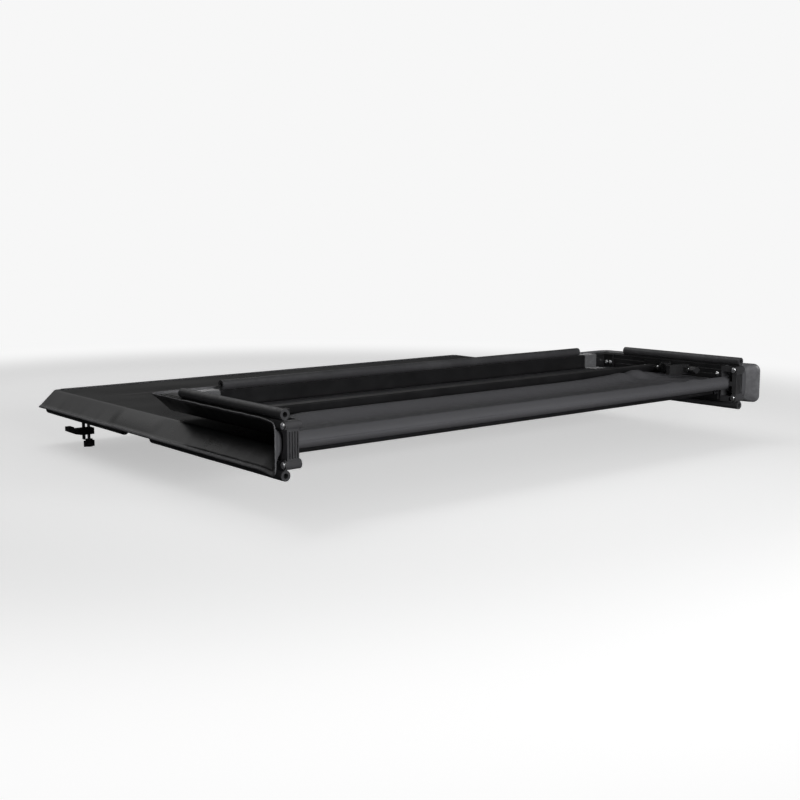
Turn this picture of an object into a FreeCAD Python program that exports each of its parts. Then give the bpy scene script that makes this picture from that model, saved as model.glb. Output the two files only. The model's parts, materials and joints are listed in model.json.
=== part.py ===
import FreeCAD, Part
import Sketcher
import math
import os

# Soft tri-fold truck bed cover. X points right, Y points forward to the cab and Z points up.
# The origin is on the bed-rail plane, on the centre line, under the bulkhead seal.
# Every panel is drawn as it lies when the cover is closed. Placements then put the rear panel
# where it rests: turned over forward, on top of the middle panel.

doc = FreeCAD.newDocument("TonneauCover")
sheet = doc.addObject("Spreadsheet::Sheet", "Sizes")

DRIVING = [
    ("half_width", "780", "centre line to the outer edge of the skirt hem"),
    ("edge_half", "733", "centre line to the bend between top and skirt"),
    ("tarp_top", "62", "top face of the vinyl above the bed rail"),
    ("tarp_thick", "1.5", "vinyl thickness"),
    ("skirt_step", "2.2", "skirt thickness measured sideways"),
    ("hem_low", "19", "lower edge of the skirt"),
    ("tail_drop", "20", "how far the tail flap leans out"),
    ("rail_inner", "718", "inboard face of a side rail"),
    ("rail_outer", "758", "outboard face of a side rail"),
    ("rail_low", "22", "underside of a side rail"),
    ("rail_wall", "2", "wall of the aluminium sections"),
    ("rail_bevel", "732", "where the bevel of a side rail starts"),
    ("bevel_low", "36.5", "where the bevel of a side rail ends"),
    ("front_end", "15", "front end of the frame, ahead of the bulkhead seal"),
    ("front_pins", "-437", "hinge pins at the back of the front panel"),
    ("front_gap", "146", "pin spacing of the front folding links"),
    ("middle_span", "548", "pin to pin along the middle panel"),
    ("rear_gap", "78", "pin spacing of the rear folding links"),
    ("rear_span", "492", "pins to the tail end of the rear panel"),
    ("pin_height", "32.5", "hinge pins above the bed rail"),
    ("pin_radius", "4", "hinge pin radius"),
    ("pin_play", "0.05", "running clearance on the radius"),
    ("knuckle", "10", "radius of the hinge knuckles"),
    ("rail_setback", "40", "pins to the end of a side rail"),
    ("plate_thick", "3", "end plate of a hinge bracket"),
    ("tarp_setback", "31.5", "pins to the edge of a panel's vinyl"),
    ("link_inner", "723", "inboard face of a folding link"),
    ("link_outer", "751", "outboard face of a folding link"),
    ("link_half", "7", "half thickness of a folding link"),
    ("ear_thick", "4.7", "thickness of a bracket ear"),
    ("ear_rise", "6", "top edge of a bracket ear above the pins, clear of the skirt"),
    ("strip_drop", "10", "how far the vinyl over the links sits below the panels"),
    ("hinge_bow", "75", "pins to the middle of the nearest bow"),
    ("seal_line", "750", "centre line of a side seal"),
    ("bulb_radius", "11", "outside radius of a bulb seal"),
    ("bulb_bore", "5.5", "hollow of a bulb seal"),
    ("bulb_height", "10.7", "bulb centre above the bed rail"),
    ("bow_half", "16", "half width of a bow"),
    ("bow_low", "38.5", "underside of a bow"),
    ("bow_plate", "5", "end plate of a bow"),
    ("bow_foot", "30", "half width of a bow's end plate"),
    ("bow_pitch", "23", "screws to the middle of a bow"),
    ("bow_round", "5", "rounding along a bow and a cross rail"),
    ("screw_rise", "13", "bow screws above the hinge pins"),
    ("clamp_line", "697", "centre line of a clamp screw"),
    ("clamp_datum", "40", "clamp pivot above the bed rail"),
    ("front_clamp", "-112", "where the front clamps hang"),
    ("rear_clamp", "226", "rear clamp pivot, from the rear panel's pins"),
    ("screw_radius", "4", "clamp screw radius"),
    ("guide_drop", "25", "underside of a clamp's foot, below its datum"),
    ("foot_thick", "5", "thickness of a clamp's foot"),
    ("foot_half", "11", "half width of a clamp's foot"),
    ("wall_thick", "4", "plate that carries a clamp on the side rail"),
    ("hub_radius", "9", "radius of a rear clamp's trunnion hub and lug"),
    ("trunnion", "7.2", "trunnion hub's face along its canted axis"),
    ("jaw_half", "13", "half width of a clamp jaw"),
    ("jaw_low", "86", "underside of a jaw, below the clamp's datum"),
    ("knob_low", "120", "underside of a knob, below the clamp's datum"),
    ("bow_screw", "3", "self-tapping screw radius"),
    ("hole_play", "0.2", "clearance of a screw hole on the radius"),
    ("strap_gauge", "1.6", "thickness of the webbing"),
    ("strap_width", "50", "width of a tail strap"),
    ("strap_line", "625", "centre line to the inner edge of a tail strap"),
    ("strap_lap", "40", "length of a tail strap sewn to the vinyl"),
    ("tie_width", "28", "width of the strap that holds a buckle"),
    ("tie_line", "431", "centre line to the inner edge of that strap"),
    ("tail_rail_deep", "36", "width of the tail rail"),
    ("tail_seal_half", "612", "half length of the tail seal"),
    ("tail_seal_end", "405", "rear pins to the end of a rear side seal"),
    ("front_bow", "205", "bulkhead seal to the middle bow of the front panel"),
    ("rear_bow", "275", "rear panel's pins to its middle bow"),
]
DERIVED = [
    ("rail_top", "=tarp_top - tarp_thick"),
    ("middle_front", "=front_pins - front_gap"),
    ("middle_back", "=middle_front - middle_span"),
    ("rear_front", "=middle_back - rear_gap"),
    ("rear_end", "=rear_front - rear_span"),
    ("fold_y", "=middle_back + rear_front"),
    ("fold_z", "=2 * pin_height + rear_gap"),
]


class Size:
    """A length that keeps its formula on the sheet, so whatever is drawn with it stays bound to it."""

    def __init__(self, formula, number):
        self.formula = formula
        self.number = number

    def __add__(self, other):
        other = as_size(other)
        return Size(f"({self.formula} + {other.formula})", self.number + other.number)

    def __sub__(self, other):
        other = as_size(other)
        return Size(f"({self.formula} - {other.formula})", self.number - other.number)

    def __mul__(self, factor):
        return Size(f"({self.formula} * {factor})", self.number * factor)

    def __neg__(self):
        return self * -1

    __radd__ = __add__
    __rmul__ = __mul__


def as_size(item):
    return item if isinstance(item, Size) else Size(f"({float(item)})", float(item))


row = 0
for alias, number, meaning in DRIVING:
    row += 1
    sheet.set(f"A{row}", meaning)
    sheet.set(f"B{row}", number)
    sheet.setAlias(f"B{row}", alias)
for alias, formula in DERIVED:
    row += 1
    sheet.set(f"B{row}", formula)
    sheet.setAlias(f"B{row}", alias)
doc.recompute()

S = {alias: Size(f"Sizes.{alias}", float(sheet.get(alias))) for alias, *_ in DRIVING + DERIVED}
nodes = []


def new_body(label):
    body = doc.addObject("PartDesign::Body", "Body")
    body.Label = label
    return body


def keep(item, label):
    """Marks an object as a finished sub-part and names its file."""
    item.Label = label
    nodes.append(item)
    return item


def sketch_on(body, plane, offset=0, tilt=0):
    """A sketch parallel to one of the body's own planes, moved along the plane's normal."""
    sketch = body.newObject("Sketcher::SketchObject", "Sketch")
    support = next(f for f in body.Origin.OriginFeatures if f.Role == plane)
    sketch.AttachmentSupport = [(support, "")]
    sketch.MapMode = "FlatFace"
    turn = FreeCAD.Rotation(FreeCAD.Vector(1, 0, 0), tilt)
    sketch.AttachmentOffset = FreeCAD.Placement(FreeCAD.Vector(0, 0, 0), turn)
    if tilt:
        normal = turn.multVec(FreeCAD.Vector(0, 0, 1))
        sketch.setExpression(".AttachmentOffset.Base.y", (as_size(offset) * round(normal.y, 9)).formula)
        sketch.setExpression(".AttachmentOffset.Base.z", (as_size(offset) * round(normal.z, 9)).formula)
    else:
        sketch.setExpression(".AttachmentOffset.Base.z", as_size(offset).formula)
    return sketch


def bind_point(sketch, edge, end, point):
    for kind, size in (("DistanceX", point[0]), ("DistanceY", point[1])):
        size = as_size(size)
        number = sketch.addConstraint(Sketcher.Constraint(kind, -1, 1, edge, end, size.number))
        sketch.setExpression(f"Constraints[{number}]", size.formula)


def polygon(sketch, points):
    first = sketch.GeometryCount
    corners = [FreeCAD.Vector(as_size(x).number, as_size(y).number, 0) for x, y in points]
    for here, there in zip(corners, corners[1:] + corners[:1]):
        sketch.addGeometry(Part.LineSegment(here, there))
    count = len(points)
    for index in range(count):
        after = first + (index + 1) % count
        sketch.addConstraint(Sketcher.Constraint("Coincident", first + index, 2, after, 1))
    for index, point in enumerate(points):
        bind_point(sketch, first + index, 1, point)


def rectangle(sketch, low, high):
    polygon(sketch, [low, (high[0], low[1]), high, (low[0], high[1])])


def circle(sketch, centre, radius):
    radius = as_size(radius)
    middle = FreeCAD.Vector(as_size(centre[0]).number, as_size(centre[1]).number, 0)
    normal = FreeCAD.Vector(0, 0, 1)
    edge = sketch.addGeometry(Part.Circle(middle, normal, radius.number))
    bind_point(sketch, edge, 3, centre)
    number = sketch.addConstraint(Sketcher.Constraint("Radius", edge, radius.number))
    sketch.setExpression(f"Constraints[{number}]", radius.formula)


def feature(body, kind, sketch, length, backwards=False, both_ways=False):
    made = body.newObject(f"PartDesign::{kind}", kind)
    made.Profile = sketch
    made.setExpression("Length", as_size(length).formula)
    made.Reversed = backwards
    if both_ways:
        made.SideType = "Symmetric"
    sketch.Visibility = False
    body.Tip = made
    return made


def pad(body, sketch, length, **options):
    return feature(body, "Pad", sketch, length, **options)


def pocket(body, sketch, length, **options):
    """Cuts away from the sketch's normal, or along it when it runs backwards, and checks that it cut."""
    doc.recompute()
    before = body.Shape.Volume
    made = feature(body, "Pocket", sketch, length, **options)
    doc.recompute()
    if body.Shape.Volume > before - 0.001:
        raise RuntimeError(f"nothing was cut from {body.Label}")
    return made


def round_edges(body, radius, wanted):
    """Fillets the edges of the newest shape that the test picks out."""
    doc.recompute()
    base = body.Tip
    names = [f"Edge{n}" for n, edge in enumerate(base.Shape.Edges, 1) if wanted(edge)]
    made = body.newObject("PartDesign::Fillet", "Fillet")
    made.Base = (base, names)
    made.setExpression("Radius", as_size(radius).formula)
    body.Tip = made
    return made


def runs_along(axis):
    """A test for straight edges parallel to an axis."""

    def test(edge):
        if not isinstance(edge.Curve, Part.Line):
            return False
        return abs(edge.Curve.Direction.dot(axis)) > 0.999

    return test


def place(item, x=0, y=0, z=0, axis=(1, 0, 0), angle=0):
    turn = FreeCAD.Rotation(FreeCAD.Vector(*axis), angle)
    item.Placement = FreeCAD.Placement(FreeCAD.Vector(0, 0, 0), turn)
    for letter, size in (("x", x), ("y", y), ("z", z)):
        item.setExpression(f".Placement.Base.{letter}", as_size(size).formula)
    return item


def as_drawn(item):
    return item


def fold_over(item):
    """Turns a rear-panel piece over onto the middle panel."""
    return place(item, 0, S["fold_y"], S["fold_z"], angle=180)


def stand_up(item):
    """Turns a rear-link piece upright on the middle panel's rear pins."""
    return place(item, 0, S["middle_back"] - S["pin_height"], S["middle_back"] + S["pin_height"], angle=-90)


def mirrored(item):
    twin = doc.addObject("Part::Mirroring", "Mirror")
    twin.Source = item
    twin.Normal = FreeCAD.Vector(1, 0, 0)
    twin.Base = FreeCAD.Vector(0, 0, 0)
    return twin


def both_sides(name, item):
    """The right-hand piece and its left-hand twin, as two sub-parts."""
    keep(item, f"{name}_right")
    keep(mirrored(item), f"{name}_left")


def group(label, items):
    bundle = doc.addObject("Part::Compound", "Group")
    bundle.Links = items
    return keep(bundle, label)


# ---- aluminium sections ----


def seal_groove(middle, low, flip):
    """The T-slot in the underside of a section, from one lip to the other."""
    steps = [(2.5, 0), (2.5, 2), (5, 2), (5, 7), (-5, 7), (-5, 2), (-2.5, 2), (-2.5, 0)]
    if flip:
        steps = [(-x, z) for x, z in steps]
    return [(middle + x, low + z) for x, z in steps]


def side_rail(y_high, y_low, finish):
    """Hollow side rail: bevelled outer shoulder, seal slot below, two grooves in the inboard face."""
    body = new_body("rail")
    wall = S["rail_wall"]
    outline = sketch_on(body, "XZ_Plane", -y_high)
    inboard = [(S["rail_inner"], S["rail_low"])]
    for height in (33, 46):
        for depth, rise in ((0, -1), (1, 0), (0, 1)):
            inboard.append((S["rail_inner"] + depth, as_size(height + rise)))
    inboard += [
        (S["rail_inner"], S["rail_top"]),
        (S["rail_bevel"], S["rail_top"]),
        (S["rail_outer"], S["bevel_low"]),
        (S["rail_outer"], S["rail_low"]),
    ]
    polygon(outline, inboard + seal_groove(S["seal_line"], S["rail_low"], False))
    pad(body, outline, y_high - y_low)
    chamber = sketch_on(body, "XZ_Plane", -y_high)
    floor = S["rail_low"] + wall
    ledge = S["rail_low"] + 9
    polygon(chamber, [
        (S["rail_inner"] + wall, floor),
        (S["rail_inner"] + wall, S["rail_top"] - wall),
        (S["rail_bevel"] - 0.7, S["rail_top"] - wall),
        (S["rail_outer"] - wall, S["bevel_low"] - 0.7),
        (S["rail_outer"] - wall, ledge),
        (S["seal_line"] - 7, ledge),
        (S["seal_line"] - 7, floor),
    ])
    pocket(body, chamber, y_high - y_low, backwards=True)
    return finish(body)


def cross_rail(y_back, y_front, seal_y, plate, screws, finish):
    """Deep hollow rail across the cover, with a seal slot below and an end plate at each side rail."""
    body = new_body("cross rail")
    half = S["rail_inner"] - S["bow_plate"]
    outline = sketch_on(body, "YZ_Plane")
    corners = [(y_back, S["rail_low"]), (y_back, S["rail_top"]), (y_front, S["rail_top"])]
    polygon(outline, corners + [(y_front, S["rail_low"])] + seal_groove(seal_y, S["rail_low"], False))
    pad(body, outline, half * 2, both_ways=True)
    chamber = sketch_on(body, "YZ_Plane")
    wall = S["rail_wall"]
    rectangle(chamber, (y_back + wall, S["rail_low"] + 9), (y_front - wall, S["rail_top"] - wall))
    pocket(body, chamber, half * 2 + 2, both_ways=True)
    end_plates(body, plate, S["rail_low"], screws)
    along = runs_along(FreeCAD.Vector(1, 0, 0))
    top = S["rail_top"].number - 0.01
    length = half.number
    round_edges(body, S["bow_round"], lambda e: along(e) and e.CenterOfMass.z > top and e.Length > length)
    return finish(body)


def end_plates(body, plate, low, screws):
    half = S["rail_inner"] - S["bow_plate"]
    for start in (half, -S["rail_inner"]):
        shape = sketch_on(body, "YZ_Plane", start)
        rectangle(shape, (plate[0], low), (plate[1], S["rail_top"]))
        pad(body, shape, S["bow_plate"])
        holes = sketch_on(body, "YZ_Plane", start)
        for y in screws:
            circle(holes, (y, S["pin_height"] + S["screw_rise"]), S["bow_screw"] + S["hole_play"])
        pocket(body, holes, S["bow_plate"], backwards=True)


def bow(y, finish):
    """Rounded tube that carries the vinyl across the panel, with an end plate at each side rail."""
    body = new_body("bow")
    half = S["rail_inner"] - S["bow_plate"]
    outline = sketch_on(body, "YZ_Plane")
    rectangle(outline, (y - S["bow_half"], S["bow_low"]), (y + S["bow_half"], S["rail_top"]))
    pad(body, outline, half * 2, both_ways=True)
    round_edges(body, S["bow_round"], runs_along(FreeCAD.Vector(1, 0, 0)))
    chamber = sketch_on(body, "YZ_Plane")
    wall = S["rail_wall"] * 2
    low_corner = (y - S["bow_half"] + wall, S["bow_low"] + wall)
    rectangle(chamber, low_corner, (y + S["bow_half"] - wall, S["rail_top"] - wall))
    pocket(body, chamber, half * 2 + 2, both_ways=True)
    foot = S["bow_foot"]
    pitch = S["bow_pitch"]
    end_plates(body, (y - foot, y + foot), S["rail_low"] + 6, (y - pitch, y + pitch))
    return finish(body)


def tapping_screw(x, y, z, finish):
    """Button-head screw driven outboard, its head on a plate at the given distance from the centre line."""
    body = new_body("screw")
    section = sketch_on(body, "XZ_Plane")
    shank = S["bow_screw"]
    polygon(section, [(-3.4, 0), (-3.4, 3), (-1.6, 5.4), (0, 5.6), (0, shank), (12, shank), (14, 0)])
    turned = body.newObject("PartDesign::Revolution", "Revolution")
    turned.Profile = section
    turned.ReferenceAxis = (section, ["H_Axis"])
    turned.Angle = 360
    socket = sketch_on(body, "YZ_Plane", -3.4)
    body.Tip = turned
    corners = [(2 * math.cos(math.radians(a)), 2 * math.sin(math.radians(a))) for a in range(0, 360, 60)]
    polygon(socket, corners)
    pocket(body, socket, 1.8, backwards=True)
    return group_member(body, x, y, z, finish)


def group_member(body, x, y, z, finish):
    """Sets a piece at its closed-cover position, then carries it to where its panel rests."""
    if finish is fold_over:
        return place(body, x, S["fold_y"] - y, S["fold_z"] - z, angle=180)
    return place(body, x, y, z)


def screw_set(label, seats, finish):
    right = [tapping_screw(*place_of_screw, finish) for place_of_screw in seats]
    group(label, right + [mirrored(item) for item in right])


# ---- folding hinges ----


def hinge_bracket(pins, way, finish):
    """Fork at the end of a side rail: plug in the rail, end plate and two ears round the folding link."""
    body = new_body("bracket")
    back = pins + S["rail_setback"] if way > 0 else pins - S["rail_setback"] + S["plate_thick"]
    plate = sketch_on(body, "XZ_Plane", -back)
    polygon(plate, [
        (S["rail_inner"], S["rail_low"] + 0.5),
        (S["rail_inner"], S["rail_top"]),
        (S["rail_bevel"], S["rail_top"]),
        (S["rail_outer"], S["bevel_low"]),
        (S["rail_outer"], S["rail_low"] + 0.5),
    ])
    pad(body, plate, S["plate_thick"])
    plug = sketch_on(body, "XZ_Plane", -(pins + S["rail_setback"] * way))
    low = (S["rail_inner"] + 2.3, S["rail_low"] + 2.3)
    rectangle(plug, low, (S["rail_bevel"] - 1.5, S["rail_top"] - 2.3))
    pad(body, plug, 35, backwards=way > 0)
    reach = pins + (S["rail_setback"] - S["plate_thick"]) * way
    for face in (S["rail_inner"], S["link_outer"] + 0.3):
        ear = sketch_on(body, "YZ_Plane", face)
        rectangle(ear, (pins, S["pin_height"] - S["knuckle"]), (reach, S["pin_height"] + S["ear_rise"]))
        pad(body, ear, S["ear_thick"])
        eye = sketch_on(body, "YZ_Plane", face)
        circle(eye, (pins, S["pin_height"]), S["knuckle"])
        pad(body, eye, S["ear_thick"])
    bore = sketch_on(body, "YZ_Plane", S["rail_inner"] - 1)
    circle(bore, (pins, S["pin_height"]), S["pin_radius"] + S["pin_play"])
    pocket(body, bore, 60, backwards=True)
    return finish(body)


def folding_link(front, gap, carrier, finish):
    """Ribbed bar between two hinge pins, with a raised lug that carries the vinyl over the fold."""
    body = new_body("link")
    back = front - gap
    height = S["pin_height"]
    width = S["link_outer"] - S["link_inner"]
    bar = sketch_on(body, "YZ_Plane", S["link_inner"])
    rectangle(bar, (back, height - S["link_half"]), (front, height + S["link_half"]))
    pad(body, bar, width)
    for pins in (front, back):
        eye = sketch_on(body, "YZ_Plane", S["link_inner"])
        circle(eye, (pins, height), S["knuckle"])
        pad(body, eye, width)
    lug = sketch_on(body, "YZ_Plane", S["link_inner"])
    centre = front - gap * 0.5
    rectangle(lug, (centre - carrier, height), (centre + carrier, S["rail_top"] - S["strip_drop"]))
    pad(body, lug, 10)
    ribs = sketch_on(body, "XZ_Plane", -(front - S["knuckle"] - 2))
    for step in range(4):
        left = S["link_inner"] + 2.5 + 6.2 * step
        rectangle(ribs, (left, height - S["link_half"] - 1), (left + 4, height - S["link_half"] + 2.5))
    pocket(body, ribs, gap - S["knuckle"] * 2 - 4, backwards=True)
    bores = sketch_on(body, "YZ_Plane", S["link_inner"] - 1)
    for pins in (front, back):
        circle(bores, (pins, height), S["pin_radius"])
    pocket(body, bores, width + 2, backwards=True)
    return finish(body)


def hinge_pin(y, z):
    """Riveted pin with a domed head outside each ear."""
    body = new_body("pin")
    section = sketch_on(body, "XZ_Plane")
    inner = S["rail_inner"] - 0.3
    outer = S["link_outer"] + S["ear_thick"] + 0.6
    radius = S["pin_radius"]
    polygon(section, [
        (inner - 3.2, 0), (inner - 3.2, 3), (inner - 2, 6), (inner - 0.6, 7), (inner, 7), (inner, radius),
        (outer, radius), (outer, 7), (outer + 0.6, 7), (outer + 2, 6), (outer + 3.2, 3), (outer + 3.2, 0),
    ])
    turned = body.newObject("PartDesign::Revolution", "Revolution")
    turned.Profile = section
    turned.ReferenceAxis = (section, ["H_Axis"])
    turned.Angle = 360
    body.Tip = turned
    return place(body, 0, y, z)


# ---- soft parts ----


def panel_vinyl(y_high, y_low, flap, finish):
    """Vinyl top with its two sloping skirts, and the lip that wraps the front or the tail of the cover."""
    body = new_body("vinyl")
    sheet_low = S["tarp_top"] - S["tarp_thick"]
    bend = S["edge_half"] - 0.6
    hem = S["half_width"] - S["skirt_step"]
    section = sketch_on(body, "XZ_Plane", -y_high)
    outer = [(-S["half_width"], S["hem_low"]), (-S["edge_half"], S["tarp_top"])]
    outer += [(S["edge_half"], S["tarp_top"]), (S["half_width"], S["hem_low"])]
    inner = [(hem, S["hem_low"]), (bend, sheet_low), (-bend, sheet_low), (-hem, S["hem_low"])]
    polygon(section, outer + inner)
    pad(body, section, y_high - y_low)
    if flap == "front":
        lip = sketch_on(body, "YZ_Plane")
        rectangle(lip, (y_high, S["rail_low"] + 8), (y_high + S["tarp_thick"], S["tarp_top"]))
        pad(body, lip, (S["rail_inner"] - 2) * 2, both_ways=True)
    if flap == "tail":
        lip = sketch_on(body, "YZ_Plane")
        drop = S["tail_drop"]
        polygon(lip, [
            (y_low + 0.5, S["tarp_top"]),
            (y_low - drop, S["hem_low"]),
            (y_low - drop + 1.8, S["hem_low"]),
            (y_low + 0.5, S["tarp_top"] - 1.8),
        ])
        pad(body, lip, (S["rail_inner"] - 2) * 2, both_ways=True)
    return finish(body)


def link_vinyl(front, gap, finish):
    """Strip of vinyl over the folding links."""
    body = new_body("strip")
    shape = sketch_on(body, "YZ_Plane")
    low = (front - gap + S["tarp_setback"], S["rail_top"] - S["strip_drop"])
    rectangle(shape, low, (front - S["tarp_setback"], S["tarp_top"] - S["strip_drop"]))
    pad(body, shape, S["edge_half"] * 2, both_ways=True)
    return finish(body)


def bulb_seal(plane, middle, bulb, stem, finish, both_ways=False):
    """Hollow bulb with a barbed stem above and a flat where it rests. Bulb and stem are (start, length)."""
    body = new_body("seal")
    rest = S["bulb_height"]
    root = S["rail_low"]
    ring = sketch_on(body, plane, bulb[0])
    circle(ring, (middle, rest), S["bulb_radius"])
    pad(body, ring, bulb[1], both_ways=both_ways)
    barb = sketch_on(body, plane, stem[0])
    polygon(barb, [
        (middle - 2.3, root - 3), (middle + 2.3, root - 3), (middle + 2.3, root + 2.3),
        (middle + 4.6, root + 2.3), (middle + 3, root + 6), (middle - 3, root + 6),
        (middle - 4.6, root + 2.3), (middle - 2.3, root + 2.3),
    ])
    pad(body, barb, stem[1], both_ways=both_ways)
    bore = sketch_on(body, plane, bulb[0])
    circle(bore, (middle, rest), S["bulb_bore"])
    pocket(body, bore, bulb[1], backwards=not both_ways, both_ways=both_ways)
    flat = sketch_on(body, plane, bulb[0])
    rectangle(flat, (middle - 9, as_size(-4)), (middle + 9, as_size(0)))
    pocket(body, flat, bulb[1], backwards=not both_ways, both_ways=both_ways)
    return finish(body)


def side_seal(bulb_ends, stem_ends, finish):
    """Seal under a side rail. The bulb runs on past the rail to the hinge pins, the stem doesn't."""
    bulb, stem = [(-high, high - low) for high, low in (bulb_ends, stem_ends)]
    return bulb_seal("XZ_Plane", S["seal_line"], bulb, stem, finish)


def cross_seal(y, half, stem_half, finish):
    """Seal under a rail that runs across the cover."""
    return bulb_seal("YZ_Plane", y, (0, half * 2), (0, stem_half * 2), finish, both_ways=True)


def tail_strap(y_back, y_front, finish):
    """Webbing band round the tail rail, sewn to the underside of the vinyl ahead of it."""
    body = new_body("strap")
    gauge = S["strap_gauge"]
    top = S["rail_top"] - 0.5
    low = S["rail_low"] - 0.2
    inside = y_front + 0.3
    sewn = inside + S["strap_lap"]
    band = sketch_on(body, "YZ_Plane", S["strap_line"])
    polygon(band, [
        (y_back + 4, low - gauge), (inside + gauge, low - gauge), (inside + gauge, top - gauge),
        (sewn, top - gauge), (sewn, top), (inside, top), (inside, low), (y_back + 4, low),
    ])
    pad(body, band, S["strap_width"])
    return finish(body)


# ---- clamps, drawn hanging at work about their own datum ----

CLAMP_SCREWS = (-15, 15)
CANT = 45  # degrees between the rear clamps' trunnion and the vertical
LUG_THICK = 4.2


def clamp_guide(body):
    """Bored foot for the clamp screw and the tongue that keeps the jaw from turning."""
    foot = sketch_on(body, "XY_Plane", -S["guide_drop"])
    rectangle(foot, (as_size(-9), -S["foot_half"]), (as_size(16), S["foot_half"]))
    pad(body, foot, S["foot_thick"])
    tongue = sketch_on(body, "XY_Plane", -100)
    rectangle(tongue, (as_size(12), as_size(-6)), (as_size(16), as_size(6)))
    pad(body, tongue, 78)
    bore = sketch_on(body, "XY_Plane", -S["guide_drop"] - 1)
    circle(bore, (as_size(0), as_size(0)), S["screw_radius"] + S["pin_play"])
    pocket(body, bore, S["foot_thick"] + 2, backwards=True)


def front_bracket():
    """Angle on the side rail that holds a front clamp."""
    body = new_body("front clamp bracket")
    face = S["rail_inner"] - S["clamp_line"]
    wall = sketch_on(body, "YZ_Plane", face - S["wall_thick"])
    rectangle(wall, (as_size(-22), -S["guide_drop"]), (as_size(22), as_size(18)))
    pad(body, wall, S["wall_thick"])
    foot = sketch_on(body, "XY_Plane", -S["guide_drop"])
    rectangle(foot, (as_size(15), -S["foot_half"]), (face - 3, S["foot_half"]))
    pad(body, foot, S["foot_thick"])
    clamp_guide(body)
    holes = sketch_on(body, "YZ_Plane", face - S["wall_thick"])
    height = S["pin_height"] + S["screw_rise"] - S["clamp_datum"]
    for y in CLAMP_SCREWS:
        circle(holes, (as_size(y), height), S["bow_screw"] + S["hole_play"])
    pocket(body, holes, S["wall_thick"], backwards=True)
    return place(body, S["clamp_line"], S["front_clamp"], S["clamp_datum"])


def rear_pivot():
    """Plate on the side rail with the canted lug that a rear clamp swings in."""
    body = new_body("rear clamp pivot")
    face = S["rail_inner"] - S["clamp_line"]
    wall = sketch_on(body, "YZ_Plane", face - S["wall_thick"])
    rectangle(wall, (as_size(-16), as_size(-14)), (as_size(14), as_size(18)))
    pad(body, wall, S["wall_thick"])
    radius = S["hub_radius"]
    lug = sketch_on(body, "XY_Plane", S["trunnion"], tilt=CANT)
    rectangle(lug, (as_size(0), -radius), (face - 2, radius))
    pad(body, lug, LUG_THICK)
    eye = sketch_on(body, "XY_Plane", S["trunnion"], tilt=CANT)
    circle(eye, (as_size(0), as_size(0)), radius)
    pad(body, eye, LUG_THICK)
    bore = sketch_on(body, "XY_Plane", 6, tilt=CANT)
    circle(bore, (as_size(0), as_size(0)), S["pin_radius"] + S["pin_play"])
    pocket(body, bore, 7, backwards=True)
    return body


def rear_arm():
    """Swinging yoke of a rear clamp, with its canted trunnion."""
    body = new_body("rear clamp arm")
    block = sketch_on(body, "XY_Plane", -S["guide_drop"])
    rectangle(block, (as_size(-9), -S["foot_half"]), (as_size(9), S["foot_half"]))
    pad(body, block, 21)
    hub = sketch_on(body, "XY_Plane", -7, tilt=CANT)
    circle(hub, (as_size(0), as_size(0)), S["hub_radius"])
    pad(body, hub, 14)
    for start, length, radius in ((6, 7, S["pin_radius"]), (11.7, 2.6, as_size(6.5))):
        turned = sketch_on(body, "XY_Plane", start, tilt=CANT)
        circle(turned, (as_size(0), as_size(0)), radius)
        pad(body, turned, length)
    window = sketch_on(body, "YZ_Plane")
    rectangle(window, (as_size(-7.2), as_size(-20)), (as_size(7.2), as_size(-13)))
    pocket(body, window, 24, both_ways=True)
    clamp_guide(body)
    return body


def clamp_screw():
    body = new_body("clamp screw")
    section = sketch_on(body, "XZ_Plane")
    thread = S["screw_radius"]
    polygon(section, [
        (0, -14), (5, -14), (6.4, -15), (6.4, -19.8), (thread, -19.8), (thread, -25.2), (6, -25.2), (6, -28),
        (thread, -28), (thread, -117), (0, -117),
    ])
    turned = body.newObject("PartDesign::Revolution", "Revolution")
    turned.Profile = section
    turned.ReferenceAxis = (section, ["V_Axis"])
    turned.Angle = 360
    body.Tip = turned
    return body


def clamp_knob():
    """Moulded hand knob with two wings."""
    body = new_body("clamp knob")
    hub = sketch_on(body, "XY_Plane", -S["knob_low"])
    circle(hub, (as_size(0), as_size(0)), 9.5)
    pad(body, hub, 20)
    wings = sketch_on(body, "XY_Plane", -S["knob_low"])
    rectangle(wings, (as_size(-15), as_size(-3.5)), (as_size(15), as_size(3.5)))
    pad(body, wings, 16)
    round_edges(body, 3, lambda e: runs_along(FreeCAD.Vector(0, 0, 1))(e) and abs(e.CenterOfMass.x) > 14)
    bore = sketch_on(body, "XY_Plane", -S["knob_low"] + 3)
    circle(bore, (as_size(0), as_size(0)), S["screw_radius"])
    pocket(body, bore, 18, backwards=True)
    return body


def clamp_jaw():
    """Hook that is drawn up under the lip of the bed rail."""
    body = new_body("clamp jaw")
    low = -S["jaw_low"]
    tip = 60
    side = sketch_on(body, "XZ_Plane", -S["jaw_half"])
    polygon(side, [
        (-10, low), (-10, low + 17), (44, low + 17), (46, low + 24), (tip, low + 24),
        (tip, low + 12), (42, low + 4), (24, low),
    ])
    pad(body, side, S["jaw_half"] * 2)
    through = 40
    slot = sketch_on(body, "XY_Plane", low - 4)
    rectangle(slot, (as_size(11.7), as_size(-6.3)), (as_size(16.3), as_size(6.3)))
    pocket(body, slot, through, backwards=True)
    bore = sketch_on(body, "XY_Plane", low - 4)
    circle(bore, (as_size(0), as_size(0)), S["screw_radius"] + S["pin_play"])
    pocket(body, bore, through, backwards=True)
    return body


def hang_front(body):
    return place(body, S["clamp_line"], S["front_clamp"], S["clamp_datum"])


def stow_rear(body):
    """Rear clamps rest swung up along the side rail of the folded panel, hooks inboard."""
    pivot_y = S["rear_front"] - S["rear_clamp"]
    along = S["fold_y"] - pivot_y
    return place(body, S["clamp_line"], along, S["fold_z"] - S["clamp_datum"], axis=(0, 1, 1), angle=180)


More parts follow.
